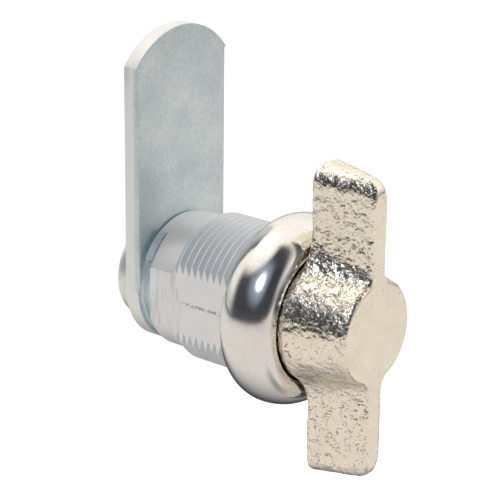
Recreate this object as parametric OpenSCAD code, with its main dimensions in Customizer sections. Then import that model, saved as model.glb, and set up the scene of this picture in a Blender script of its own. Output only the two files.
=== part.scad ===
// Thumb turn cam lock for a cabinet door, with a quarter turn of travel.
// The lock axis is Y: the thumb turn is in front (-Y), the cam behind (+Y), and Z points up.
// The origin is where the axis meets the plane of the bezel's rear face, which rests on the door.
// The cam is drawn shut, tip up, with its lug against the first stop.

/* [Barrel] */
// Thread diameter of the barrel
thread_d = 19; // [12:0.5:30]
// Across the two flats of the barrel
flats_af = 15.9; // [10:0.1:28]
// Length of barrel behind the door face
barrel_len = 14.1; // [10:0.1:40]
// Length of the threaded stretch, from the door face
thread_len = 10.3; // [5:0.1:35]
// Spacing of the thread's turns
thread_pitch = 1; // [0.75:0.05:2]
// Diameter of the plain stretch behind the thread
plain_d = 17.4; // [11:0.1:28]
// Diameter of the bore that the spindle turns in
bore_d = 12; // [6:0.1:14]

/* [Bezel] */
// Largest diameter of the domed bezel
bezel_d = 24; // [20:0.1:40]
// Height of the bezel's crest in front of the door face
bezel_h = 6.65; // [5:0.05:12]
// Diameter of the mouth that the thumb turn's neck stands in
mouth_d = 16.7; // [14:0.1:24]
// Diameter of the ring where the dome is highest
crest_d = 18.6; // [15:0.1:30]
// Sheet thickness of the polished cap
cap_t = 0.5; // [0.3:0.05:1]

/* [Thumb turn] */
// Tip to tip height of the wing, at its rear edge
wing_h = 40; // [26:0.2:60]
// Wing thickness next to the bezel
wing_t_rear = 6.2; // [3:0.1:8]
// Wing thickness at the front edge
wing_t_front = 2.8; // [1.5:0.1:6]
// Depth of the wing, from its rear edge to the boss's front face
wing_depth = 8.2; // [5:0.05:20]
// Boss diameter next to the bezel
boss_d_rear = 16.4; // [13:0.1:24]
// Boss diameter at its front face
boss_d_front = 13; // [8:0.1:22]
// Radius of the web where the wing runs into the boss
web_r = 3; // [1:0.1:6]
// Gap between the bezel's crest and the wing's rear edge
sweep_gap = 0.35; // [0.2:0.05:2]

/* [Spindle and stops] */
// Wall of the stop ridge on the barrel's rear face
ridge_wall = 0.7; // [0.4:0.05:2]
// Thickness of the collar behind the barrel and of its lug
stop_t = 1.05; // [0.6:0.05:3]
// Angle of the stop face that the lug rests on, counted from +X towards +Z
stop_angle = 123.5; // [95:0.5:150]
// Width of the lug as an angle
lug_angle = 27; // [10:1:60]
// Travel between the two stops
travel = 90; // [45:5:180]
// Side of the square that drives the cam
drive_af = 8; // [5:0.1:10]
// Thickness of the seat between the collar and the cam
seat_t = 0.5; // [0.2:0.05:3]
// Diameter of the screw that holds the cam
screw_d = 5; // [3:0.5:6]

/* [Cam] */
// Width of the cam plate
cam_w = 16.7; // [12:0.1:30]
// Distance from the lock axis to the cam's tip
cam_reach = 32.7; // [20:0.1:60]
// Radius of the curved tip
cam_tip_r = 10.4; // [8.5:0.1:40]
// Thickness of the cam plate
cam_t = 2.15; // [1:0.05:4]

/* [Hidden] */
$fn = 96;
eps = 0.01;

// Fits, each named once.
run_fit = 0.04;      // radial clearance of a turning pair
seat_fit = 0.02;     // clearance of a fixed pair
end_play = 0.07;     // axial play between the collar and the barrel

// Thread: its turns are drawn as rings, which need far fewer faces than a helix.
thread_depth = min(0.67 * thread_pitch, 0.06 * thread_d);  // from crest to root
thread_lead = 0.8;                         // the cone that brings its rear end in
thread_flat = 0.12;                        // width of a crest, as a share of the pitch

// Bezel: an ellipse seen in section, widest a little in front of the door face.
dome_y = 2.4;                              // the widest ring stands this far forward
dome_a = (bezel_d - crest_d) / 2;          // radial half axis
dome_b = bezel_h - dome_y;                 // half axis towards the front
dome_rear_b = dome_y / 0.74;               // half axis of the part that curls in to the door
mouth_drop = 0.3;                          // the rim falls this far from crest to mouth
mouth_wall = 0.9;                          // the cap turns in this far at the mouth
pocket_d = mouth_d + 0.6;                  // pocket behind the mouth, in the barrel's head
pocket_floor = 3.4;                        // its floor, in front of the door face

// Thumb turn.
wing_y = bezel_h + sweep_gap;              // rear edge of the wing, in front of the door face
front_y = wing_y + wing_depth;             // front face
neck_y = 4.2;                              // rear face of the neck, inside the pocket
neck_d = boss_d_rear - 0.15;               // the neck stands in a little from the boss
tip_corner_r = 1.8;                        // rounding of the wing's front corners, side view
tip_rear_r = 0.6;                          // rounding of its rear corners
tip_round = 2.5;                           // how far down from the tip its sides round off
tip_draft = 1.1;                           // the wing is this much shorter at its front edge
edge_r = 0.55;                             // rounding of the front edges
crown = 0.15;                              // the front face rises this much to its middle
socket_len = 8.4;                          // depth of the socket for the spindle, from the neck
tenon_d = 7.6;                             // the spindle's front end
tenon_af = 6.2;                            // its two flats, which carry the turning force

// Spindle, from the barrel's rear face backwards.
collar_y = barrel_len + end_play;
seat_y = collar_y + stop_t;
cam_y = seat_y + seat_t;
drive_len = cam_t - 0.2;
ring_y = 1.2;                              // middle of the O-ring
ring_section = 1.2;
ring_inner = bore_d - 2 * ring_section - 2 * run_fit;
lug_r = plain_d / 2;
ridge_in_r = plain_d / 2 - ridge_wall;
ridge_y = cam_y - 0.12;                    // the ridge ends just short of the cam
seat_d = 2 * ridge_in_r - 0.2;             // the seat turns inside the ridge
collar_d = seat_d - 1;                     // and the collar stands in from it

// Fixings behind the cam.
washer_t = 1.05;
washer_d = 10.2;
head_d = 13.2;
head_t = 2.4;
screw_len = 9.5;

// ---- shared shapes ----

// Turns a profile drawn as (radius, distance along +Y) about the lock axis.
module turned(pts) rotate([-90, 0, 0]) rotate_extrude() polygon(pts);

// A round bar along +Y between two stations.
module bar(d, y0, y1) translate([0, y0, 0]) rotate([-90, 0, 0]) cylinder(d = d, h = y1 - y0);

// A flat shape drawn as (X, Z), with its front face at y0.
module plate(y0, t) translate([0, y0 + t, 0]) rotate([90, 0, 0]) linear_extrude(t) children();

// A wedge of a ring, seen along the axis, between two angles from +X towards +Z.
module ring_wedge(r_in, r_out, a0, a1) {
    steps = max(2, ceil((a1 - a0) / 30));
    reach = r_out * 1.3;
    difference() {
        intersection() {
            circle(r = r_out);
            polygon(concat([[0, 0]],
                [for (i = [0:steps]) reach * [cos(a0 + (a1 - a0) * i / steps),
                                              sin(a0 + (a1 - a0) * i / steps)]]));
        }
        circle(r = r_in);
    }
}

// Section of the dome, set in by `inset` from its outer face, from the door round to the crest.
// `y_end` is how far forward of the door the rear end of the curve stands.
function dome(inset) = let (
        a = dome_a - inset, bf = dome_b - inset, br = dome_rear_b - inset,
        start = -asin(min(1, dome_y / br)))
    concat(
        [for (i = [0:8]) let (p = start * (1 - i / 8))
            [crest_d / 2 + a * cos(p), -dome_y - br * sin(p)]],
        [for (i = [1:14]) let (p = 90 * i / 14)
            [crest_d / 2 + a * cos(p), -dome_y - bf * sin(p)]]);

// ---- pieces ----

// Die-cast housing: a head that fills the bezel, a threaded stretch with two flats,
// a plain stretch, and a stop ridge on the rear face.
module barrel() {
    skin = cap_t + seat_fit;
    head = dome(skin);
    crest = thread_d / 2;
    root = crest - thread_depth;
    thread_end = thread_len - thread_lead;
    turns = floor(thread_end / thread_pitch);
    chamfer = 0.25;
    ridge_from = stop_angle - 360 + travel + lug_angle;
    color([0.78, 0.79, 0.78]) difference() {
        union() {
            turned(concat(
                [[0, -pocket_floor], [pocket_d / 2, -pocket_floor],
                 [pocket_d / 2, -bezel_h + mouth_wall + skin]],
                [for (i = [len(head) - 1:-1:0]) head[i]],
                [for (k = [0:turns - 1])
                    for (p = [[crest, k], [crest, k + thread_flat],
                              [root, k + (1 + thread_flat) / 2]])
                        [p[0], p[1] * thread_pitch]],
                [[crest, turns * thread_pitch],
                 [crest, max(thread_end, (turns + thread_flat) * thread_pitch)],
                 [plain_d / 2, thread_len],
                 [plain_d / 2, barrel_len - chamfer], [plain_d / 2 - chamfer, barrel_len],
                 [0, barrel_len]]));
            plate(barrel_len - eps, ridge_y - barrel_len + eps)
                ring_wedge(ridge_in_r, plain_d / 2, ridge_from, stop_angle);
        }
        bar(bore_d, -pocket_floor - 1, ridge_y + 1);
        for (side = [-1, 1])
            translate([side * (flats_af / 2 + 10), barrel_len / 2 + 5, 0])
                cube([20, barrel_len + 10, 40], center = true);
    }
}

// Polished cap, pressed over the barrel's head and turned in at the mouth.
module bezel_cap() {
    outer = dome(0);
    inner = dome(cap_t);
    color([0.86, 0.85, 0.83]) turned(concat(
        outer,
        [[(crest_d + mouth_d) / 4 + 0.1, -bezel_h + mouth_drop * 0.3],
         [mouth_d / 2 + 0.12, -bezel_h + mouth_drop],
         [mouth_d / 2, -bezel_h + mouth_drop + 0.2],
         [mouth_d / 2, -bezel_h + mouth_wall],
         [mouth_d / 2 + cap_t, -bezel_h + mouth_wall]],
        [for (i = [len(inner) - 1:-1:0]) inner[i]]));
}

// One quarter of the thumb turn's section: wing tip, side, web and boss, from +Z round to +X.
// h is the wing's half height, t its half thickness and r the boss's radius there.
function wing_quarter(h, t, r) = let (
        c = t * 0.8,
        cz = sqrt(pow(r + web_r, 2) - pow(t + web_r, 2)),
        turn = atan2(cz, t + web_r))
    concat(
        [[0, h]],
        [for (i = [0:5]) let (p = 90 - 18 * i)
            [t - c + c * cos(p), h - tip_round + tip_round * sin(p)]],
        [for (i = [0:6]) let (p = 180 + turn * i / 6)
            [t + web_r + web_r * cos(p), cz + web_r * sin(p)]],
        [for (i = [1:7]) let (p = turn * (1 - i / 7)) [r * cos(p), r * sin(p)]]);

// The whole section, all the way round, from its first quarter.
function wing_ring(q) = let (n = len(q)) concat(
    q,
    [for (i = [n - 2:-1:0]) [q[i][0], -q[i][1]]],
    [for (i = [1:n - 1]) [-q[i][0], -q[i][1]]],
    [for (i = [n - 2:-1:1]) [-q[i][0], q[i][1]]]);

// How much a corner of radius r has rounded off at a distance s from its face.
function round_off(r, s) = s >= r ? 0 : r - sqrt(r * r - pow(r - s, 2));

// Section of the thumb turn at the fraction f of its depth, 0 at the bezel and 1 in front.
function wing_section(f) = let (
        back = f * wing_depth, ahead = (1 - f) * wing_depth,
        h = wing_h / 2 - tip_draft * f - round_off(tip_corner_r, ahead)
            - round_off(tip_rear_r, back),
        t = (wing_t_rear + (wing_t_front - wing_t_rear) * f) / 2
            - round_off(edge_r, ahead) - round_off(edge_r, back),
        r = (boss_d_rear + (boss_d_front - boss_d_rear) * f) / 2 - round_off(edge_r * 0.6, ahead))
    wing_ring(wing_quarter(h, t, r));

// Die-cast thumb turn: a boss that tapers forward, a wing with drafted faces that runs
// into it with webs, and a round neck that stands in the bezel's mouth.
module thumb_turn() {
    stations = [0, 0.02, 0.05, 0.09, 0.14, 0.2, 0.35, 0.5, 0.65, 0.74, 0.82, 0.88, 0.92,
                0.95, 0.975, 0.99, 1];
    rings = [for (f = stations) wing_section(f)];
    n = len(rings[0]);
    pts = [for (k = [0:len(stations) - 1]) for (p = rings[k])
        [p[0], -wing_y - wing_depth * stations[k], p[1]]];
    last = (len(stations) - 1) * n;
    // a slight crown on the front face, and one point in the middle of each end
    ends = [[0, -wing_y + 0.1, 0], [0, -front_y - crown, 0]];
    hub = len(pts);
    color([0.86, 0.81, 0.73]) difference() {
        union() {
            polyhedron(points = concat(pts, ends), faces = concat(
                [for (i = [0:n - 1]) [hub, (i + 1) % n, i]],
                [for (i = [0:n - 1]) [hub + 1, last + i, last + (i + 1) % n]],
                [for (k = [0:len(stations) - 2]) for (i = [0:n - 1])
                    [k * n + i, k * n + (i + 1) % n, (k + 1) * n + (i + 1) % n, (k + 1) * n + i]]));
            bar(neck_d, -wing_y - 0.15, -neck_y);
        }
        // socket for the spindle's flatted end
        intersection() {
            bar(tenon_d + 2 * seat_fit, -neck_y - socket_len, -neck_y + 1);
            translate([0, -neck_y, 0])
                cube([tenon_af + 2 * seat_fit, 2 * socket_len + 4, 20], center = true);
        }
    }
}

// Zinc spindle: flatted front end, journal with a groove for the seal, and behind the
// barrel a collar with its stop lug, the cam's seat and the square that drives the cam.
module spindle() {
    journal_d = bore_d - 2 * run_fit;
    groove = ring_section + 0.3;
    color([0.72, 0.77, 0.80]) difference() {
        union() {
            bar(journal_d, -pocket_floor - 0.75, collar_y + eps);
            intersection() {
                bar(tenon_d, -neck_y - socket_len + 0.3, -pocket_floor);
                translate([0, -neck_y, 0]) cube([tenon_af, 40, 20], center = true);
            }
            bar(collar_d, collar_y, seat_y);
            plate(collar_y, stop_t)
                ring_wedge(collar_d / 2 - 0.5, lug_r, stop_angle, stop_angle + lug_angle);
            bar(seat_d, seat_y - eps, cam_y);
            intersection() {
                translate([-drive_af / 2, cam_y - eps, -drive_af / 2])
                    cube([drive_af, drive_len + eps, drive_af]);
                bar(drive_af * 1.3, cam_y - 1, cam_y + cam_t);
            }
        }
        turned([[ring_inner / 2, ring_y - groove / 2], [bore_d, ring_y - groove / 2],
                [bore_d, ring_y + groove / 2], [ring_inner / 2, ring_y + groove / 2]]);
        bar(screw_d + 2 * seat_fit, cam_y + cam_t + washer_t - screw_len - 1.2, cam_y + cam_t);
    }
}

// Rubber seal in the spindle's groove.
module o_ring()
    color([0.1, 0.1, 0.1]) translate([0, ring_y, 0]) rotate([-90, 0, 0]) rotate_extrude()
        translate([ring_inner / 2 + seat_fit + ring_section / 2, 0])
            circle(d = ring_section - seat_fit, $fn = 48);

// Spring washer with three waves between the thumb turn's neck and the pocket's floor.
// It takes up the play and gives the turn its drag.
module wave_washer() {
    strip_t = 0.3;
    room = neck_y - pocket_floor;
    lift = (room - strip_t) / 2 - seat_fit;
    r_in = bore_d / 2 + 0.3;
    r_out = neck_d / 2;
    n = 72;
    mid = -(neck_y + pocket_floor) / 2;
    ring = [for (i = [0:n - 1]) let (a = 360 * i / n, y = mid + lift * cos(3 * a))
        for (c = [[r_in, -1], [r_out, -1], [r_out, 1], [r_in, 1]])
            [c[0] * cos(a), y + c[1] * strip_t / 2, c[0] * sin(a)]];
    color([0.7, 0.7, 0.72]) polyhedron(points = ring, faces =
        [for (i = [0:n - 1]) for (k = [0:3]) let (j = (i + 1) % n, m = (k + 1) % 4)
            [4 * i + k, 4 * j + k, 4 * j + m, 4 * i + m]]);
}

// Stamped cam plate: round about the axis, straight sides and a curved tip, with a square hole.
module cam()
    color([0.74, 0.78, 0.79]) plate(cam_y, cam_t) difference() {
        union() {
            circle(d = cam_w);
            intersection() {
                translate([-cam_w / 2, 0]) square([cam_w, cam_reach]);
                translate([0, cam_reach - cam_tip_r]) circle(r = cam_tip_r);
            }
            translate([-cam_w / 2, 0]) square([cam_w, cam_reach - cam_tip_r]);
        }
        intersection() {
            square(drive_af + 2 * seat_fit, center = true);
            circle(d = drive_af * 1.3 + 2 * seat_fit);
        }
    }

// Split spring washer under the screw's head.
module lock_washer()
    color([0.6, 0.62, 0.64]) difference() {
        bar(washer_d, cam_y + cam_t, cam_y + cam_t + washer_t);
        bar(screw_d + 0.3, cam_y + cam_t - 1, cam_y + cam_t + washer_t + 1);
        translate([0, cam_y + cam_t + washer_t / 2, 0]) rotate([0, 0, 25])
            translate([0, 0, -washer_d / 2]) cube([0.7, washer_t * 3, washer_d], center = true);
    }

// Low round-headed screw with a cross recess, into the spindle's end.
module cam_screw() {
    y0 = cam_y + cam_t + washer_t;
    edge = 0.8;
    slot_w = 1.1;
    color([0.76, 0.78, 0.78]) difference() {
        turned(concat(
            [[0, y0 - screw_len], [screw_d / 2 - 0.4, y0 - screw_len],
             [screw_d / 2, y0 - screw_len + 0.4], [screw_d / 2, y0], [head_d / 2, y0]],
            [for (i = [0:8]) let (p = 90 * i / 8)
                [head_d / 2 - edge + edge * cos(p), y0 + head_t - edge + edge * sin(p)]],
            [[0, y0 + head_t + 0.12]]));
        for (turn = [0, 90]) rotate([0, turn, 0])
            translate([-slot_w / 2, y0 + head_t - 1.3, -2.6]) cube([slot_w, 3, 5.2]);
    }
}

barrel();
bezel_cap();
thumb_turn();
spindle();
o_ring();
wave_washer();
cam();
lock_washer();
cam_screw();
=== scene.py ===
# %% [markdown]
# # Thumb turn cam lock
#
# A keyless lock for a cabinet door. A knob with two wings stands in front of the door and
# turns a spindle. The spindle runs through a threaded barrel, and behind the door it swings
# a flat steel cam a quarter turn, behind the frame or clear of it.
#
# The CAD model is the frame. It says how large each piece is, where it sits and how it
# moves. This script dresses that frame, piece by piece, in the finishes of the real lock.
# All shapes are drawn in millimetres and made metres once, when a piece is kept.

# %% Load the frame
from math import asin, atan2, cos, degrees, hypot, pi, radians, sin, sqrt

import bmesh
import bpy
from bmesh.types import BMEdge, BMVert
from bpy.types import NodeSocket
from mathutils import Matrix, Vector, noise


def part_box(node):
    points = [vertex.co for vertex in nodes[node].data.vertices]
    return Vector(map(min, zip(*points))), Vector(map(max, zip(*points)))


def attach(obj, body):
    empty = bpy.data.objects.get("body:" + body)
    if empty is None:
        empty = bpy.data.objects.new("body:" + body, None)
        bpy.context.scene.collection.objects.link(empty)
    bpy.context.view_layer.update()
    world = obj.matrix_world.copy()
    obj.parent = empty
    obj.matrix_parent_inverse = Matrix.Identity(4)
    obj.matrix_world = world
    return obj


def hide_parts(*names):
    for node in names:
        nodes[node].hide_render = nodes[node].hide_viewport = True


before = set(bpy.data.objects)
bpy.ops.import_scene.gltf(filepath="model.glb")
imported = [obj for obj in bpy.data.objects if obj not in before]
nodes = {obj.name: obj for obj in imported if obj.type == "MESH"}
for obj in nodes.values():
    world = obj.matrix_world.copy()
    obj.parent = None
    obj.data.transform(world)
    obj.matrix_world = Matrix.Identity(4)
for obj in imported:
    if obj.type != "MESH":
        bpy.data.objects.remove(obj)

MM, MICRON = 1e-3, 1e-6
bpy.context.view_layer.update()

# %% [markdown]
# ## Sizes
#
# The lock axis is Y, with the knob at the low end and the cam at the high end. The sizes that
# join one piece to another are read from the boxes of the CAD nodes, so the dressed pieces fit
# the frame. What a box doesn't show, such as the thread's pitch, is named where it is used.

# %% Read the frame's sizes
def box_mm(node):
    """Lowest and highest corner of a CAD node, in millimetres."""
    return [Vector(corner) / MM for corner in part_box(node)]


bezel_low, bezel_high = box_mm("bezel_cap")
cam_low, cam_high = box_mm("cam")
BEZEL_R, BEZEL_H = bezel_high.x, -bezel_low.y
RIDGE_T = 1.5                              # height of the stop ridge on the rear face
BARREL_LEN = box_mm("barrel")[1].y - RIDGE_T
FLAT_X = 7.95                              # half the distance across the barrel's flats
print(f"bezel {2 * BEZEL_R:.1f} mm across, {BEZEL_H:.2f} mm high")
print(f"barrel {BARREL_LEN:.2f} mm long, cam tip {cam_high.z:.1f} mm above the axis")

# %% [markdown]
# ## Helpers for turned pieces
#
# Half of the lock's pieces are turned or look turned. Each is drawn as a profile of points
# (radius, distance along Y), and one spin about the lock axis makes the shape. A spin is
# exact, and its facets are too small to see at 192 steps.

# %% Profiles and spins
STEPS = 192


def only(kind, geom):
    """Pick the vertices, edges or faces out of what an operator returned."""
    return [g for g in geom if isinstance(g, kind)]


def wire(bm, points, closed=False):
    """A chain of edges through points (x, y, z). Returns its vertices and edges."""
    verts = [bm.verts.new(p) for p in points]
    pairs = list(zip(verts, verts[1:])) + ([(verts[-1], verts[0])] if closed else [])
    return verts + [bm.edges.new(pair) for pair in pairs]


def turned(bm, profile, closed=False):
    """Spin a profile of (radius, y) points about the lock axis."""
    bmesh.ops.spin(bm, geom=wire(bm, [(r, y, 0) for r, y in profile], closed),
                   cent=(0, 0, 0), axis=(0, 1, 0), angle=2 * pi, steps=STEPS,
                   use_merge=True, use_duplicate=False)


def arc(cx, cy, r, a0, a1, n):
    """Points on an arc, for a rounded corner of a profile. Angles are in degrees."""
    return [(cx + r * cos(radians(a0 + (a1 - a0) * i / n)),
             cy + r * sin(radians(a0 + (a1 - a0) * i / n))) for i in range(n + 1)]


def bridged(bm, rings):
    """Skin a row of rings, each a closed chain of points with the same count."""
    loops = [only(BMEdge, wire(bm, ring, closed=True)) for ring in rings]
    for a, b in zip(loops, loops[1:]):
        bmesh.ops.bridge_loops(bm, edges=a + b)
    return loops


# %% [markdown]
# Every bmesh becomes a piece in the same way. Its doubles are merged, its faces are turned the
# right way out, and its millimetres become metres. It is shaded smooth up to a given angle, so
# a real corner stays sharp. Last it gets its finish and is tied to the body that it rides on,
# and the CAD node that it stands for is hidden.

# %% Keeping a piece
RIDES_ON = {"barrel": "housing", "bezel_cap": "housing",
            "thumb_turn": "turning_parts", "cam": "turning_parts"}


def mesh_of(bm, name):
    """Make a bmesh in millimetres a mesh in metres."""
    bmesh.ops.scale(bm, vec=(MM, MM, MM), verts=bm.verts)
    mesh = bpy.data.meshes.new(name)
    bm.to_mesh(mesh)
    bm.free()
    return mesh


def in_scene(name, data):
    """A new object at the origin, linked to the scene."""
    thing = bpy.data.objects.new(name, data)
    bpy.context.scene.collection.objects.link(thing)
    return thing


def keep(bm, name, node, paint, sharp, weld=1e-4):
    """Turn a bmesh into a finished piece that stands for a CAD node.

    `sharp` is in degrees, and `weld` in millimetres.
    """
    bmesh.ops.remove_doubles(bm, verts=bm.verts, dist=weld)
    bmesh.ops.recalc_face_normals(bm, faces=bm.faces)
    mesh = mesh_of(bm, name)
    mesh.shade_smooth()
    mesh.set_sharp_from_angle(angle=radians(sharp))
    mesh.materials.append(paint)
    piece = in_scene(name, mesh)
    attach(piece, RIDES_ON[node])
    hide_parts(node)
    print(f"{name}: {len(mesh.polygons)} faces")


# %% [markdown]
# ## Finishes
#
# Every metal here is a Principled shader. Polished steel and nickel have metallic at 1. Zinc
# has less, because its dull skin scatters part of the light as paint does. What else tells
# one metal from another is the colour, the roughness and the relief, so each finish has its
# own noise for those. All patterns read Object coordinates, which are metres, so a noise scale
# of 1000 is one grain to the millimetre.

# %% A small kit for node trees
NOISE_SPAN = (0.3, 0.7)                    # where most of a noise's values lie


def node_maker(tree):
    """A function that adds a node to a tree. i0, i1 and so on name inputs by number."""
    def add(kind, settings=None, **inputs):
        node = tree.nodes.new(kind)
        for key, value in (settings or {}).items():
            setattr(node, key, value)
        for key, value in inputs.items():
            by_number = key[0] == "i" and key[1:].isdigit()
            socket = node.inputs[int(key[1:]) if by_number else key.replace("_", " ")]
            if isinstance(value, NodeSocket):
                tree.links.new(value, socket)
            else:
                socket.default_value = value
        return node
    return add


def finish(name, metallic=1.0):
    """A new material, its shader, Object coordinates, and how to add and link nodes."""
    mat = bpy.data.materials.new(name)
    mat.use_nodes = True
    tree = mat.node_tree
    shader = tree.nodes["Principled BSDF"]
    shader.inputs["Metallic"].default_value = metallic
    add = node_maker(tree)
    place = add("ShaderNodeTexCoord").outputs["Object"]
    return mat, shader, place, add, tree.links.new


def maths(add, operation, a, b=None, clamp=False):
    """One Math node, on one value or two."""
    values = {"i0": a} if b is None else {"i0": a, "i1": b}
    return add("ShaderNodeMath", {"operation": operation, "use_clamp": clamp},
               **values).outputs[0]


def remap(add, value, low, high, to_low=0.0, to_high=1.0, smooth=False):
    """Stretch a value from one range to another, and hold it beyond the ends."""
    kind = "SMOOTHSTEP" if smooth else "LINEAR"
    return add("ShaderNodeMapRange", {"interpolation_type": kind}, Value=value,
               From_Min=low, From_Max=high, To_Min=to_low, To_Max=to_high).outputs[0]


def blend(add, a, b, amount, how="MIX"):
    """Colour a, or b where the amount is 1."""
    a, b = (v if isinstance(v, NodeSocket) else (*v, 1) for v in (a, b))
    return add("ShaderNodeMix", {"data_type": "RGBA", "blend_type": how},
               i0=amount, i6=a, i7=b).outputs[2]


def split(add, vector):
    """The x, y and z of a vector."""
    return add("ShaderNodeSeparateXYZ", Vector=vector).outputs


# %% Noise as colour, roughness and relief
def grain(add, place, scale, detail=3.0, rough=0.5, distortion=0.0):
    """Noise of so many grains to the metre."""
    return add("ShaderNodeTexNoise", Vector=place, Scale=scale, Detail=detail,
               Roughness=rough, Distortion=distortion).outputs["Fac"]


def varied(add, place, scale, detail, low, high):
    """Noise that runs from a low value to a high one."""
    return remap(add, grain(add, place, scale, detail), *NOISE_SPAN, low, high)


def clouded(add, place, scale, detail, dark, light):
    """Two tones of one colour that noise blends in soft clouds."""
    node = add("ShaderNodeValToRGB", Fac=grain(add, place, scale, detail))
    for element, position, color in zip(node.color_ramp.elements, NOISE_SPAN, (dark, light)):
        element.position, element.color = position, (*color, 1)
    return node.outputs["Color"]


def speckled(add, paint, place, scale, detail, low, high):
    """A paint that fine noise makes darker or lighter, between two factors."""
    return blend(add, paint, varied(add, place, scale, detail, low, high), 1.0, "MULTIPLY")


def relief(add, height, distance, under=None, strength=1.0):
    """A bump of so many metres, on top of another one if it is given."""
    inputs = {"Height": height, "Distance": distance, "Strength": strength}
    if under is not None:
        inputs["Normal"] = under
    return add("ShaderNodeBump", **inputs).outputs["Normal"]


# %% [markdown]
# The bezel is polished, so it is a mirror with a slight ripple. A perfect mirror would look
# drawn by a machine: the ripple of a few microns makes its reflections swim a little.

# %% Polished bezel steel
def polished_steel():
    mat, shader, place, add, link = finish("polished_bezel_steel")
    paint = clouded(add, place, 260, 3, (0.80, 0.785, 0.765), (0.86, 0.845, 0.82))
    link(speckled(add, paint, place, 3600, 2, 0.94, 1.04), shader.inputs["Base Color"])
    link(varied(add, place, 900, 4, 0.13, 0.20), shader.inputs["Roughness"])
    fine = relief(add, grain(add, place, 2600, 3), 2.2 * MICRON)
    ripple = relief(add, grain(add, place, 330, 1), 8 * MICRON, under=fine)
    link(ripple, shader.inputs["Normal"])
    return mat


# %% [markdown]
# The knob has a warm nickel plate over a cast skin like hammered metal. Its mesh carries the
# broad lumps, and the material adds what is finer: small lumps, dents and pits. They are
# strongest in the webs beside the boss, and weak on the front face, which was polished. The
# dents are painted a dull brown, less on the front face: painted shade in the hollows.

# %% Hammered nickel
WEB_Z = 8.4                                # height of the webs above and below the axis


def hammered_nickel():
    mat, shader, place, add, link = finish("hammered_warm_nickel")
    warm = clouded(add, place, 420, 3, (0.90, 0.825, 0.70), (0.96, 0.89, 0.775))
    warm = speckled(add, warm, place, 3000, 2, 0.94, 1.03)
    link(varied(add, place, 1500, 3, 0.10, 0.20), shader.inputs["Roughness"])
    facing = split(add, add("ShaderNodeNewGeometry").outputs["Normal"])["Y"]
    unpolished = remap(add, facing, -0.95, -0.6, 0.28, 1.0)
    height = maths(add, "ABSOLUTE", split(add, place)["Z"])
    off_web = maths(add, "ABSOLUTE", maths(add, "SUBTRACT", height, WEB_Z * MM))
    lumps = maths(add, "MULTIPLY", grain(add, place, 1250, 1.5, 0.5, 0.3),
                  remap(add, off_web, 1.5 * MM, 3.8 * MM, 1.9, 0.9))
    dents = remap(add, grain(add, place, 1900, 1, 0.5, 1.2), 0.26, 0.39)
    pits = grain(add, place, 3600, 2)
    skin = None
    for form, depth in ((lumps, 130), (dents, 50), (pits, 50)):
        skin = relief(add, form, depth * MICRON, skin, unpolished)
    link(skin, shader.inputs["Normal"])
    # painted shade: the dents are painted dull brown, less on the front face
    dent_shade = maths(add, "MULTIPLY", remap(add, dents, 0.0, 0.8, 0.8, 0.0), unpolished)
    link(blend(add, warm, (0.42, 0.30, 0.19), dent_shade), shader.inputs["Base Color"])
    return mat


# %% [markdown]
# The barrel is bare cast zinc, pale and even. Up close it has a history: the mould's parting
# line shows as a row of dark specks along the middle of each flat, and behind the thread faint
# brown stains run down from it. The sloping sides of the thread are painted bluer than its
# crests, a painted reflection. Each of these is a mask from place or slope that mixes one more
# colour in.

# %% Die-cast zinc
PARTING_Z = 0.08                           # height of the parting line
FLANK_REFLECTION_BLUE, SPECK, STAIN = (0.80, 0.84, 0.875), (0.22, 0.25, 0.29), (0.52, 0.50, 0.43)


def cast_zinc():
    mat, shader, place, add, link = finish("die_cast_zinc", 0.62)
    x, y, z = split(add, place)
    paint = clouded(add, place, 330, 4, (0.93, 0.94, 0.945), (0.97, 0.97, 0.96))
    slope = maths(add, "ABSOLUTE", split(add, add("ShaderNodeTexCoord").outputs["Normal"])["Y"])
    # painted reflection: faces that look along the axis, the thread's flanks most, are tinted
    # blue
    paint = blend(add, paint, FLANK_REFLECTION_BLUE, remap(add, slope, 0.3, 0.6))

    off_line = maths(add, "ABSOLUTE", maths(add, "SUBTRACT", z, PARTING_Z * MM))
    near_line = remap(add, off_line, 0.12 * MM, 0.28 * MM, 1.0, 0.0)
    on_thread = remap(add, y, 8.5 * MM, 9.2 * MM, 1.0, 0.12)
    specks = remap(add, grain(add, place, 3300, 2), 0.46, 0.6, 0.0, 0.8)
    line = maths(add, "MULTIPLY", near_line, on_thread)
    line = maths(add, "MULTIPLY", line, specks)
    paint = blend(add, paint, SPECK, line)

    drawn_down = add("ShaderNodeMapping", Vector=place, Scale=(1, 1, 0.1)).outputs[0]
    streaks = remap(add, grain(add, drawn_down, 1900, 2), 0.52, 0.68, 0.0, 0.4)
    behind_thread = remap(add, y, 8.8 * MM, 9.6 * MM)
    on_flat = remap(add, maths(add, "ABSOLUTE", x), (FLAT_X - 0.05) * MM, (FLAT_X - 0.02) * MM)
    stain = maths(add, "MULTIPLY", streaks, behind_thread)
    stain = maths(add, "MULTIPLY", stain, on_flat)
    link(blend(add, paint, STAIN, stain), shader.inputs["Base Color"])

    link(varied(add, place, 1200, 3, 0.42, 0.55), shader.inputs["Roughness"])
    skin = relief(add, grain(add, place, 2400, 4), 10 * MICRON)
    link(relief(add, stain, 12 * MICRON, under=skin), shader.inputs["Normal"])
    return mat


# %% [markdown]
# Cam, spindle and screw are steel with a thin zinc plate, which is bluish and cloudy. Its
# grain is noise that a Mapping node draws out, so it runs along the cam as brush marks do.
# Round the cam's rim the colour is painted paler and creamier, a painted highlight, and the
# metal there is plainer. A mask from the normal finds the rim, because it looks neither
# forward nor back. The spring washers get the same steel in plain grey.

# %% Zinc plated steel
CLOUD_DARK, CLOUD_LIGHT = (0.87, 0.91, 0.92), 1.06    # factors on the plate's colour


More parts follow.
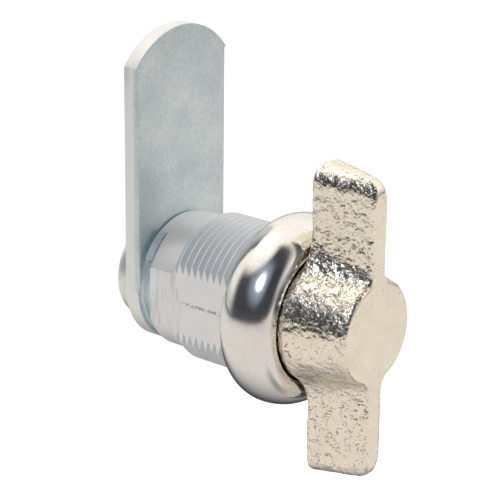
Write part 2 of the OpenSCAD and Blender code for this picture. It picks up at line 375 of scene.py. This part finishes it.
def plated_steel(name, color, metallic=1.0, edge=None):
    mat, shader, place, add, link = finish(name, metallic)
    dark = [c * k for c, k in zip(color, CLOUD_DARK)]
    light = [min(1, c * CLOUD_LIGHT) for c in color]
    paint = clouded(add, place, 240, 4, dark, light)
    paint = speckled(add, paint, place, 2900, 3, 0.92, 1.07)
    brushed = add("ShaderNodeMapping", Vector=place, Scale=(1, 1, 0.12)).outputs[0]
    gloss = varied(add, brushed, 2600, 3, 0.28, 0.4)
    if edge is not None:
        normal = add("ShaderNodeTexCoord").outputs["Normal"]
        cut = remap(add, maths(add, "ABSOLUTE", split(add, normal)["Y"]), 0.1, 0.3, 1.0, 0.0)
        # painted highlight: the rim is painted paler and creamier
        paint = blend(add, paint, edge, cut)
        gloss = maths(add, "MULTIPLY", gloss, remap(add, cut, 0.0, 1.0, 1.0, 1.1))
        link(remap(add, cut, 0.0, 1.0, metallic, 0.4), shader.inputs["Metallic"])
    link(paint, shader.inputs["Base Color"])
    link(gloss, shader.inputs["Roughness"])
    link(relief(add, grain(add, brushed, 4200, 3), 4 * MICRON), shader.inputs["Normal"])
    return mat


# %% Rubber of the seal
def seal_rubber():
    mat, shader, place, add, link = finish("seal_rubber", 0.0)
    shader.inputs["Base Color"].default_value = (0.02, 0.02, 0.02, 1)
    link(varied(add, place, 3000, 3, 0.5, 0.7), shader.inputs["Roughness"])
    link(relief(add, grain(add, place, 6000), 10 * MICRON), shader.inputs["Normal"])
    return mat


# %% [markdown]
# Five CAD nodes keep their own shape: the spindle, the screw, the two spring washers and the
# seal. Little or nothing of them can be seen, so they only need their finish.

# %% Make the finishes and dress the CAD nodes that stay
BEZEL_STEEL = polished_steel()
NICKEL = hammered_nickel()
ZINC = cast_zinc()
# the pale edge colour is the cam rim's painted highlight
CAM_STEEL = plated_steel("cam_zinc_plate", (0.715, 0.785, 0.805), 0.85,
                         edge=(0.96, 0.972, 0.935))
SPRING_STEEL = plated_steel("spring_steel", (0.5, 0.5, 0.5))
for node, paint in (("spindle", plated_steel("spindle_zinc_plate", (0.82, 0.90, 0.94), 0.5)),
                    ("cam_screw", plated_steel("screw_zinc_plate", (0.90, 0.91, 0.90), 0.8)),
                    ("lock_washer", SPRING_STEEL), ("wave_washer", SPRING_STEEL),
                    ("o_ring", seal_rubber())):
    slots = nodes[node].data.materials
    slots.clear()
    slots.append(paint)
print("finishes:", ", ".join(m.name for m in bpy.data.materials))

# %% [markdown]
# ## Bezel cap
#
# The bezel is a thin steel cap, pressed to a dome like the rim of a bowl and polished. It is
# widest a little in front of the door, curls in to the door behind that, and dips from its
# crest to the mouth where the knob's neck stands. A spin of its section gives it in one go.

# %% Bezel cap
CREST_R, WIDEST_Y = 9.3, 2.4               # radius of the crest, and the widest place's depth
REAR_SHARE = 0.74                          # how much of its rear quarter the door leaves
CAP_T = 0.5                                # thickness of the steel
MOUTH_R, MOUTH_WALL = 8.35, 0.9
MOUTH_DROP, ROLL_IN = 0.3, 0.65            # the lip's dip, and how much of it is at the mouth
LIP_STEPS = 16


def dome(inset, rear_n=16, front_n=28):
    """The dome's section, set in from its outer face, from the door round to the crest."""
    a = BEZEL_R - CREST_R - inset
    front, rear = BEZEL_H - WIDEST_Y - inset, WIDEST_Y / REAR_SHARE - inset
    start = -asin(min(1, WIDEST_Y / rear))
    curl = [start * (1 - i / rear_n) for i in range(rear_n + 1)]
    rise = [pi / 2 * i / front_n for i in range(1, front_n + 1)]
    return ([(CREST_R + a * cos(p), -WIDEST_Y - rear * sin(p)) for p in curl]
            + [(CREST_R + a * cos(p), -WIDEST_Y - front * sin(p)) for p in rise])


def lip():
    """From the crest to the mouth: a slow dip that rolls in at the end, and a short wall."""
    dip = [(CREST_R - (CREST_R - MOUTH_R) * s,
            -BEZEL_H + MOUTH_DROP * ((1 - ROLL_IN) * s * s + ROLL_IN * s ** 8))
           for s in (i / LIP_STEPS for i in range(1, LIP_STEPS + 1))]
    return dip + [(MOUTH_R, -BEZEL_H + MOUTH_WALL), (MOUTH_R + CAP_T, -BEZEL_H + MOUTH_WALL)]


bm = bmesh.new()
turned(bm, dome(0) + lip() + dome(CAP_T)[::-1], closed=True)
keep(bm, "polished_bezel", "bezel_cap", BEZEL_STEEL, sharp=50)

# %% [markdown]
# ## Barrel
#
# The housing is cast in zinc. A fine thread of 1 mm pitch runs along it, and two flats cut
# the thread, which leaves a row of small teeth at each edge of a flat. That row is what one
# sees first, so the thread is real: its section is swept round and along the axis by one
# spin with a lift. Both ends are then brought in, the front one to the root and the rear one
# by a cone, and a plane cuts each flat.

# %% Thread
THREAD_R, ROOT_R, PLAIN_R, BORE_R = 9.5, 8.83, 8.7, 6.0
PITCH, CREST_W, ROOT_W = 1.0, 0.12, 0.14
THREAD_LEN, CONE_LEN = 10.3, 0.8
FRONT_IN = -0.4                            # the thread starts inside the head


def threaded_sleeve(bm):
    """The outside of the threaded stretch, with a row of vertices for each bend."""
    flank = (PITCH - CREST_W - ROOT_W) / 2
    half_way = ROOT_R + 0.5 * (THREAD_R - ROOT_R)
    one_turn = [(ROOT_R, 0), (ROOT_R, ROOT_W), (half_way, ROOT_W + flank / 2),
                (THREAD_R, ROOT_W + flank), (THREAD_R, ROOT_W + flank + CREST_W),
                (half_way, ROOT_W + 1.5 * flank + CREST_W)]
    turns = range(-3, int(THREAD_LEN) + 2)     # some turns too many, which the ends take off
    section = [(r, y + t * PITCH, 0) for t in turns for r, y in one_turn]
    bmesh.ops.spin(bm, geom=wire(bm, section), cent=(0, 0, 0), axis=(0, 1, 0),
                   dvec=(0, PITCH / STEPS, 0), angle=2 * pi, steps=STEPS,
                   use_merge=False, use_duplicate=False)
    for v in bm.verts:
        y = min(max(v.co.y, FRONT_IN), THREAD_LEN)
        r = hypot(v.co.x, v.co.z)
        cone = PLAIN_R + (THREAD_R - PLAIN_R) * (THREAD_LEN - y) / CONE_LEN
        k = (ROOT_R if y <= FRONT_IN else min(r, cone)) / r
        v.co = (v.co.x * k, y, v.co.z * k)
    bmesh.ops.remove_doubles(bm, verts=bm.verts, dist=2e-3)


# %% [markdown]
# The rest of the barrel grows out of the thread's open rims: each rim is extruded to the next
# radius and station, over the plain rear stretch, in through the bore and back to the front.

# %% Plain stretch, bore and flats
def rim(bm, y):
    """The open edges of a sleeve at a station along the axis."""
    return [e for e in bm.edges if e.is_boundary
            and all(abs(v.co.y - y) < 1e-3 for v in e.verts)]


def lengthen(bm, edges, r, y):
    """Extrude an open rim to a new radius and station."""
    out = bmesh.ops.extrude_edge_only(bm, edges=edges)["geom"]
    for v in only(BMVert, out):
        k = r / hypot(v.co.x, v.co.z)
        v.co = (v.co.x * k, y, v.co.z * k)
    return [e for e in only(BMEdge, out) if e.is_boundary]


def cut_flats(bm):
    """Cut both flats and close them with a face each."""
    for side in (-1, 1):
        cut = bmesh.ops.bisect_plane(bm, geom=bm.verts[:] + bm.edges[:] + bm.faces[:],
                                     dist=1e-5, plane_co=(side * FLAT_X, 0, 0),
                                     plane_no=(side, 0, 0), clear_outer=True)
        bmesh.ops.holes_fill(bm, edges=only(BMEdge, cut["geom_cut"]), sides=0)


bm = bmesh.new()
threaded_sleeve(bm)
edge = rim(bm, THREAD_LEN)
# plain stretch, rounded rear edge, rear face, and the bore back to the front
for r, y in ((PLAIN_R, BARREL_LEN - 0.3), (PLAIN_R - 0.09, BARREL_LEN - 0.09),
             (PLAIN_R - 0.3, BARREL_LEN), (BORE_R, BARREL_LEN), (BORE_R, FRONT_IN)):
    edge = lengthen(bm, edge, r, y)
bmesh.ops.bridge_loops(bm, edges=rim(bm, FRONT_IN))
bmesh.ops.remove_doubles(bm, verts=bm.verts, dist=1e-4)
bmesh.ops.recalc_face_normals(bm, faces=bm.faces)
cut_flats(bm)
print("barrel without head and ridge:", len(bm.faces), "faces")

# %% [markdown]
# The head fills the bezel, with a pocket for the knob's neck. The stop ridge is a part ring on
# the rear face. The spindle's lug runs between its two ends, which gives the quarter turn.

# %% Head and stop ridge
HEAD_GAP = 0.02                            # between the head and the bezel's inside
POCKET_R, POCKET_FLOOR = MOUTH_R + 0.3, 3.4
STOP_ANGLE, LUG_ANGLE, TRAVEL = 123.5, 27, 90
HAIR = 0.3                                 # degrees left free at each stop
RIDGE_IN, RIDGE_OUT, RIDGE_ROUND = 8.0, PLAIN_R - 0.22, 0.3


def ring_sector(bm, a0, a1, y0, y1):
    """The ridge, by a part spin of its section. Angles run from +X to +Z."""
    corner = [(r, y, 0) for r, y in
              arc(RIDGE_OUT - RIDGE_ROUND, y1 - RIDGE_ROUND, RIDGE_ROUND, 0, 90, 4)]
    section = [(RIDGE_IN, y0, 0), (RIDGE_OUT, y0, 0)] + corner + [(RIDGE_IN, y1, 0)]
    outline = wire(bm, section, closed=True)
    face = bmesh.ops.contextual_create(bm, geom=outline)["faces"]
    bmesh.ops.rotate(bm, verts=only(BMVert, outline), cent=(0, 0, 0),
                     matrix=Matrix.Rotation(-radians(a0), 3, "Y"))
    bmesh.ops.spin(bm, geom=face + outline, cent=(0, 0, 0), axis=(0, -1, 0),
                   angle=radians(a1 - a0), steps=60, use_merge=False, use_duplicate=False)


turned(bm, [(BORE_R, 0), (BORE_R, -POCKET_FLOOR), (POCKET_R, -POCKET_FLOOR),
            (POCKET_R, -BEZEL_H + MOUTH_WALL + CAP_T)] + dome(CAP_T + HEAD_GAP)[::-1],
       closed=True)
ridge = bmesh.new()
ring_sector(ridge, STOP_ANGLE + TRAVEL + LUG_ANGLE - 360 + HAIR, STOP_ANGLE - HAIR,
            BARREL_LEN - 0.05, BARREL_LEN + RIDGE_T)
bmesh.ops.recalc_face_normals(ridge, faces=ridge.faces)
cut_flats(ridge)
scrap = bpy.data.meshes.new("ridge")
ridge.to_mesh(scrap)
ridge.free()
bm.from_mesh(scrap)
bpy.data.meshes.remove(scrap)
keep(bm, "threaded_barrel", "barrel", ZINC, sharp=16)

# %% [markdown]
# ## Thumb turn
#
# The knob is one casting: a round boss that tapers forward, and a wing above and below it
# with drafted faces. The webs that join them are wide at the rear and tight in front. Such a
# form has a section at every depth, so it is a loft: each section is one ring of vertices
# with the same count, and bridge_loops joins neighbours. Both ends close with rings that
# shrink to the middle, so their faces stay small too.

# %% Sections of the thumb turn
WING_Y, FRONT_Y = 7.0, 15.2                # where the wings begin, and the front face
WING_H, TIP_DRAFT = 20.0, 1.1              # half height at the bezel, and its loss in front
WING_T, BOSS_R = (6.2, 2.8), (8.2, 6.5)    # wing thickness and boss radius, rear and front
WEB_R = (7.0, 1.8)                         # radius of the webs, rear and front
EDGE_R, CROWN = 0.55, 0.15                 # rounding of the long edges, and the front's crown
BOSS_EDGE_R = EDGE_R * 1.1                 # the boss is a little softer in front
TIP_CORNER_R, TIP_REAR_R, TIP_ROUND = 1.8, 0.6, 2.2
TIP_SHARE = 0.8                            # how much of the tip's width its corner takes


def between(ends, f):
    """The value at a fraction f of the way from the rear to the front."""
    return ends[0] + (ends[1] - ends[0]) * f


def spread(a, b, n):
    """Points spaced evenly from a to b, without b."""
    return [tuple(p + (q - p) * i / n for p, q in zip(a, b)) for i in range(n)]


def wing_quarter(h, t, r, web):
    """One quarter of the section: wing tip, side, web and boss, from +Z round to +X."""
    c = t * TIP_SHARE
    tip = [(t - c + c * cos(radians(a)), h - TIP_ROUND + TIP_ROUND * sin(radians(a)))
           for a in (90 - 90 * i / 20 for i in range(20))]
    cx, cz = t + web, sqrt((r + web) ** 2 - (t + web) ** 2)
    turn = degrees(atan2(cz, cx))
    return (spread((0, h), (t - c, h), 3) + tip + spread((t, h - TIP_ROUND), (t, cz), 42)
            + arc(cx, cz, web, 180, 180 + turn, 16)[:-1] + arc(0, 0, r, turn, 0, 44))


def round_off(r, s):
    """How much a corner of radius r has rounded off at a distance s from its face."""
    return 0 if s >= r else r - sqrt(r * r - (r - s) ** 2)


def wing_ring(f):
    """The whole section at a fraction f of the depth."""
    depth = FRONT_Y - WING_Y
    back, ahead = f * depth, (1 - f) * depth
    h = WING_H - TIP_DRAFT * f - round_off(TIP_CORNER_R, ahead) - round_off(TIP_REAR_R, back)
    t = between(WING_T, f) / 2 - round_off(EDGE_R, ahead) - round_off(EDGE_R, back)
    r = between(BOSS_R, f) - round_off(BOSS_EDGE_R, ahead)
    q = wing_quarter(h, t, r, between(WEB_R, f))
    ring = (q + [(x, -z) for x, z in q[-2::-1]] + [(-x, -z) for x, z in q[1:]]
            + [(-x, z) for x, z in q[-2:0:-1]])
    return [(x, -(WING_Y + back), z) for x, z in ring]


def closing_rings(ring, y_mid, n):
    """Copies of an end ring that shrink to the middle while they rise to y_mid."""
    y_end = ring[0][1]
    shares = [(1 - i / n) ** 1.15 for i in range(1, n)]
    return [[(x * s, y_mid + (y_end - y_mid) * s * s, z * s) for x, _, z in ring]
            for s in shares]


print("points in a section:", len(wing_ring(0.5)))

# %% [markdown]
# The casting was tumbled and then plated with bright nickel over a skin like orange peel:
# round lumps a millimetre or two across, and a closer crinkle in the webs. Noise at three
# sizes gives that form. It moves the real surface, and only ever inwards, so the knob stays
# inside the frame's box. The front face was polished again on a wheel and keeps about a
# seventh of the relief.

# %% Hammered skin
# sections lie closer together at both ends, where the edges round off
STATIONS = ([0, 0.004, 0.012, 0.025, 0.04] + [0.04 + 0.9 * i / 42 for i in range(1, 43)]
            + [0.952, 0.962, 0.971, 0.979, 0.986, 0.992, 0.997, 1])
LUMP_DEPTH, WEB_DEPTH = 0.15, 0.13         # deepest lump and crinkle
WEB_REACH, POLISH = 3.4, 0.85


def skin_noise(p, scale, *away):
    """Noise from -1 to 1 at a place, read somewhere away from the origin."""
    return noise.noise(p * scale + Vector(away))


def skin_depth(p, normal):
    """How deep the cast skin lies under the ideal surface, in millimetres."""
    big = skin_noise(p, 0.75, 7.3, 1.9, 4.2)
    small = skin_noise(p, 1.7, 3.1, 8.7, 5.5)
    lumps = min(1.0, max(0.0, 0.5 - 0.5 * big - 0.35 * small))
    polished = min(1.0, max(0.0, (-normal.y - 0.1) / 0.8))
    web = max(0.0, 1 - abs(abs(p.z) - WEB_Z) / WEB_REACH)
    crinkle = web * (0.5 + 0.5 * skin_noise(p, 2.3, 5.1, 2.4, 9.6))
    return (LUMP_DEPTH * lumps + WEB_DEPTH * crinkle) * (1 - POLISH * polished)


# %% Loft the thumb turn
REAR_MID, FRONT_MID = -WING_Y + 0.1, -FRONT_Y - CROWN    # the middles of both end faces
NECK_R, NECK_Y = BOSS_R[0] - 0.075, 4.2

bm = bmesh.new()
body = [wing_ring(f) for f in STATIONS]
rings = bridged(bm, closing_rings(body[0], REAR_MID, 16)[::-1] + body
                + closing_rings(body[-1], FRONT_MID, 36))
for ring, y in ((rings[0], REAR_MID), (rings[-1], FRONT_MID)):
    hub = bmesh.ops.create_vert(bm, co=(0, y, 0))["vert"][0]
    for e in ring:
        bm.faces.new((*e.verts, hub))
bmesh.ops.recalc_face_normals(bm, faces=bm.faces)
bm.normal_update()
for v, n in [(v, v.normal.copy()) for v in bm.verts]:
    v.co -= n * skin_depth(v.co, n)

# the round neck behind the wings, which turns in the bezel's mouth
turned(bm, [(0, -WING_Y - 0.2), (BOSS_R[0] - 0.03, -WING_Y - 0.1), (NECK_R, -WING_Y + 0.4),
            (NECK_R, -NECK_Y - 0.15), (NECK_R - 0.15, -NECK_Y), (0, -NECK_Y)])
keep(bm, "hammered_thumb_turn", "thumb_turn", NICKEL, sharp=75, weld=1e-5)

# %% [markdown]
# ## Cam
#
# The cam is cut from 2 mm strip and zinc plated. The strip's long edges are rolled, which
# rounds them towards the front. The round tip and the lower end are cut through it, and their
# edges stay crisp. An ordinary bevel has one width along the whole rim, so the edge is made of
# rings instead: each ring is the outline at one angle of the rounding, and every point of the
# outline knows whether its edge is rolled or crisp.

# %% Outline of the cam
CAM_W, CAM_TIP_R = cam_high.x, 10.4        # half the width, and the radius of the tip
CRISP, ROLLED = (0.1, 0.1), (0.4, 1.0)     # how far an edge is rounded, inwards and in depth
EDGE_STEPS = 8


def cam_arc(r, middle, a0, a1, n):
    """Points of a cut end, with their normals."""
    angles = (radians(a0 + (a1 - a0) * i / n) for i in range(n + 1))
    return [(r * cos(a), middle + r * sin(a), cos(a), sin(a), False) for a in angles]


def cam_outline():
    """Points (x, z, normal x, normal z, rolled or not), round the lower end and the tip."""
    shoulder = cam_high.z - CAM_TIP_R
    half = degrees(asin(CAM_W / CAM_TIP_R))
    top = shoulder + CAM_TIP_R * cos(radians(half))
    right = [(CAM_W, top * i / 12, 1, 0, True) for i in range(13)]
    left = [(-x, z, -1, 0, True) for x, z, *_ in right[::-1]]
    return (cam_arc(CAM_W, 0, 180, 360, 96) + right
            + cam_arc(CAM_TIP_R, shoulder, 90 - half, 90 + half, 64) + left)


def cam_ring(y, into, angle, front):
    """The outline at an angle of its rounded edge. `into` is the way in from the face."""
    points = []
    for x, z, nx, nz, rolled in cam_outline():
        inset, depth = ROLLED if rolled and front else CRISP
        back = inset * (1 - sin(angle))
        points.append((x - nx * back, y + into * depth * (1 - cos(angle)), z - nz * back))
    return points


# %% Cam
SQUARE = 4.02                              # half the square hole for the spindle
CORNERS = ((-1, -1), (1, -1), (1, 1), (-1, 1))

bm = bmesh.new()
angles = [pi / 2 * i / EDGE_STEPS for i in range(EDGE_STEPS + 1)]
rings = bridged(bm, [cam_ring(cam_low.y, 1, a, True) for a in angles]
                + [cam_ring(cam_high.y, -1, a, False) for a in angles[::-1]])
hole = []
for ring, y in ((rings[0], cam_low.y), (rings[-1], cam_high.y)):
    square = only(BMEdge, wire(bm, [(SQUARE * x, y, SQUARE * z) for x, z in CORNERS], True))
    bmesh.ops.triangle_fill(bm, use_beauty=True, use_dissolve=False, edges=ring + square,
                            normal=(0, 1, 0))
    hole += square
bmesh.ops.bridge_loops(bm, edges=hole)
keep(bm, "cam_plate", "cam", CAM_STEEL, sharp=40)

# %% [markdown]
# ## Studio
#
# The photograph was taken in a white tent, open only where the camera looks in. The metal
# shows that: white nearly everywhere, a dark patch round the camera with one small lamp in
# it, and a greyer strip low on the horizon. The world repeats this by direction. It is plain
# white to the camera itself, which is the photograph's background.

# %% Directions
def heading(az, el=0):
    """The unit vector at an azimuth from +X towards +Y and an elevation, in degrees."""
    az, el = radians(az), radians(el)
    return Vector((cos(az) * cos(el), sin(az) * cos(el), sin(el)))


def cos_deg(angle):
    return cos(radians(angle))


# %% World
WALL, CEILING, HORIZON = (1.02, 0.985, 0.94), (1.2, 1.13, 1.05), (0.62, 0.63, 0.64)
DARK, HALO, LAMP = (0.052, 0.054, 0.062), (0.30, 0.35, 0.43), (6.0, 6.3, 6.8)
OPENING_WAY, LAMP_WAY, ROOF_WAY = heading(204), heading(196, 41), heading(120, 65)
WIDENING = 0.3                             # how much the opening widens upwards

world = bpy.data.worlds.new("light_tent")
bpy.context.scene.world = world
world.use_nodes = True
tree = world.node_tree
tree.nodes.clear()
sky = node_maker(tree)


def ease(value, start, end):
    """0 before start, 1 after end, smooth between."""
    return remap(sky, value, start, end, smooth=True)


def close_to(way, target):
    """The cosine of the angle between a way and a fixed direction."""
    return sky("ShaderNodeVectorMath", {"operation": "DOT_PRODUCT"},
               i0=way, i1=target).outputs["Value"]


way = sky("ShaderNodeTexCoord").outputs["Generated"]
x, y, z = split(sky, way)
tent = blend(sky, WALL, CEILING, ease(z, 0.3, 0.85))
tent = blend(sky, tent, HORIZON, ease(z, 0.24, 0.05))
level = sky("ShaderNodeVectorMath", {"operation": "NORMALIZE"},
            i0=sky("ShaderNodeCombineXYZ", X=x, Y=y).outputs[0]).outputs[0]
reach = maths(sky, "ADD", maths(sky, "MULTIPLY", z, WIDENING), close_to(level, OPENING_WAY))
roof = ease(close_to(way, ROOF_WAY), 0.85, 0.96)
opening = maths(sky, "MULTIPLY", ease(reach, cos_deg(85), cos_deg(52)),
                maths(sky, "SUBTRACT", 1.0, roof))
tent = blend(sky, tent, DARK, opening)
near_lamp = close_to(way, LAMP_WAY)
halo = maths(sky, "MULTIPLY", opening, ease(near_lamp, cos_deg(32), cos_deg(12)))
tent = blend(sky, tent, HALO, halo)
tent = blend(sky, tent, LAMP, ease(near_lamp, cos_deg(10.5), cos_deg(3)))
shown = blend(sky, tent, (1, 1, 1), sky("ShaderNodeLightPath").outputs["Is Camera Ray"])
out = sky("ShaderNodeBackground", Color=shown, Strength=1.0)
tree.links.new(out.outputs[0], sky("ShaderNodeOutputWorld").inputs["Surface"])
print("tent:", len(tree.nodes), "nodes")

# %% [markdown]
# The floor lies well below the lock, which hangs in the air here as it would on a door. It
# is plain, pale and matt. To the camera it glows a little, so that it meets the white of the
# background, but it still takes the lock's soft shadow.
#
# Below and behind the lock the table lay in its shadow, and that shows in the metal from
# below. Two soft ovals on the floor are painted dark for it, a painted shadow: one behind the
# lock, which the barrel's underside reflects, and a small one under the bezel. A third, wide
# one paints the floor dark outside it, far out. The camera's own rays never see them. Their
# sizes are metres.

# %% Floor
FLOOR_Z, FLOOR_HALF = -62, 1500
PALE, SHADE, GLOW = (0.95, 0.935, 0.915), (0.04, 0.05, 0.075), (0.35, 0.35, 0.35, 1)

bm = bmesh.new()
bmesh.ops.create_grid(bm, x_segments=1, y_segments=1, size=FLOOR_HALF)
bmesh.ops.translate(bm, verts=bm.verts, vec=(0, 0, FLOOR_Z))
floor = in_scene("floor", mesh_of(bm, "floor"))
mat, shader, place, add, link = finish("pale_matt_table", 0.0)


def oval(spot, long, wide, start, end, turn=0, full=1.0):
    """0 on the floor outside `start` times an oval's size, and `full` inside `end` times."""
    mapped = add("ShaderNodeMapping", {"vector_type": "TEXTURE"}, Vector=place,
                 Location=(*spot, FLOOR_Z * MM), Rotation=(0, 0, radians(turn)),
                 Scale=(long, wide, 1))
    far = add("ShaderNodeVectorMath", {"operation": "LENGTH"}, i0=mapped.outputs[0])
    return remap(add, far.outputs["Value"], start, end, 0.0, full, smooth=True)


# painted shadow of the lock on the floor, behind and under it, and the floor painted dark far
# out
shadow_behind_lock = oval((0.155, 0.134), 0.205, 0.100, 1.22, 0.78, 41)
shadow_under_lock = oval((0.005, -0.036), 0.036, 0.020, 1.4, 0.2, 44, 0.6)
dark_far_out = oval((-0.02, 0.0), 1, 1, 0.45, 0.85)
seen = add("ShaderNodeLightPath").outputs["Is Camera Ray"]
shade = maths(add, "MAXIMUM", maths(add, "MAXIMUM", shadow_under_lock, dark_far_out), shadow_behind_lock)
shade = maths(add, "SUBTRACT", shade, seen, clamp=True)
link(blend(add, PALE, SHADE, shade), shader.inputs["Base Color"])
link(varied(add, place, 40, 3, 0.85, 0.95), shader.inputs["Roughness"])
link(seen, shader.inputs["Emission Strength"])
shader.inputs["Emission Color"].default_value = GLOW
floor.data.materials.append(mat)
print("floor:", -FLOOR_Z, "mm below the lock axis")

# %% [markdown]
# One weak soft lamp above and behind the lock adds to the tent. It lifts the upper faces a
# little and casts a soft shadow forward.

# %% Lamp
def lamp(name, az, el, far, size, radiance, color):
    """A square soft lamp at an azimuth, elevation and distance, aimed at the lock."""
    data = bpy.data.lights.new(name, "AREA")
    data.shape, data.size, data.color = "SQUARE", size, color
    data.energy = radiance * pi * size * size
    light = in_scene(name, data)
    light.location = far * heading(az, el)
    light.rotation_euler = (-light.location).to_track_quat("-Z", "Y").to_euler()
    print(f"{name}: {data.energy:.3f} W at {far} m")


lamp("softbox_above", 95, 64, 0.6, 0.25, 0.9, (1.0, 0.98, 0.95))

# %% [markdown]
# ## Camera
#
# The place of the camera was found from the lock itself: the round thread, the bezel, the
# flats and the upright cam each say from where they were seen. A long lens from a quarter
# metre away gives the photograph's mild perspective.

# %% Camera
FOCAL_PX, FRAME_PX = 1980.0, 500
AZ, EL, ROLL = radians(-50.614), radians(19.306), radians(0.688)
OFF_PX, SCALE_PX = (28.07, -53.31), 8.102  # where the origin is seen, and pixels to the mm there

cam_data = bpy.data.cameras.new("camera")
cam_data.sensor_width = 36
cam_data.lens = FOCAL_PX / FRAME_PX * cam_data.sensor_width
cam_data.clip_start, cam_data.clip_end = 0.01, 10
camera = in_scene("camera", cam_data)
back = Vector((sin(AZ) * cos(EL), -cos(AZ) * cos(EL), sin(EL)))
right = Vector((cos(AZ), sin(AZ), 0))
up = back.cross(right)
right, up = cos(ROLL) * right + sin(ROLL) * up, cos(ROLL) * up - sin(ROLL) * right
spot = (FOCAL_PX / SCALE_PX * back - OFF_PX[0] / SCALE_PX * right
        - OFF_PX[1] / SCALE_PX * up)
turn = Matrix((right, up, back)).transposed().to_4x4()
camera.matrix_world = Matrix.Translation(spot * MM) @ turn
bpy.context.scene.camera = camera
bpy.context.scene.view_settings.view_transform = "Standard"
print("camera at", [round(c) for c in spot], "mm")
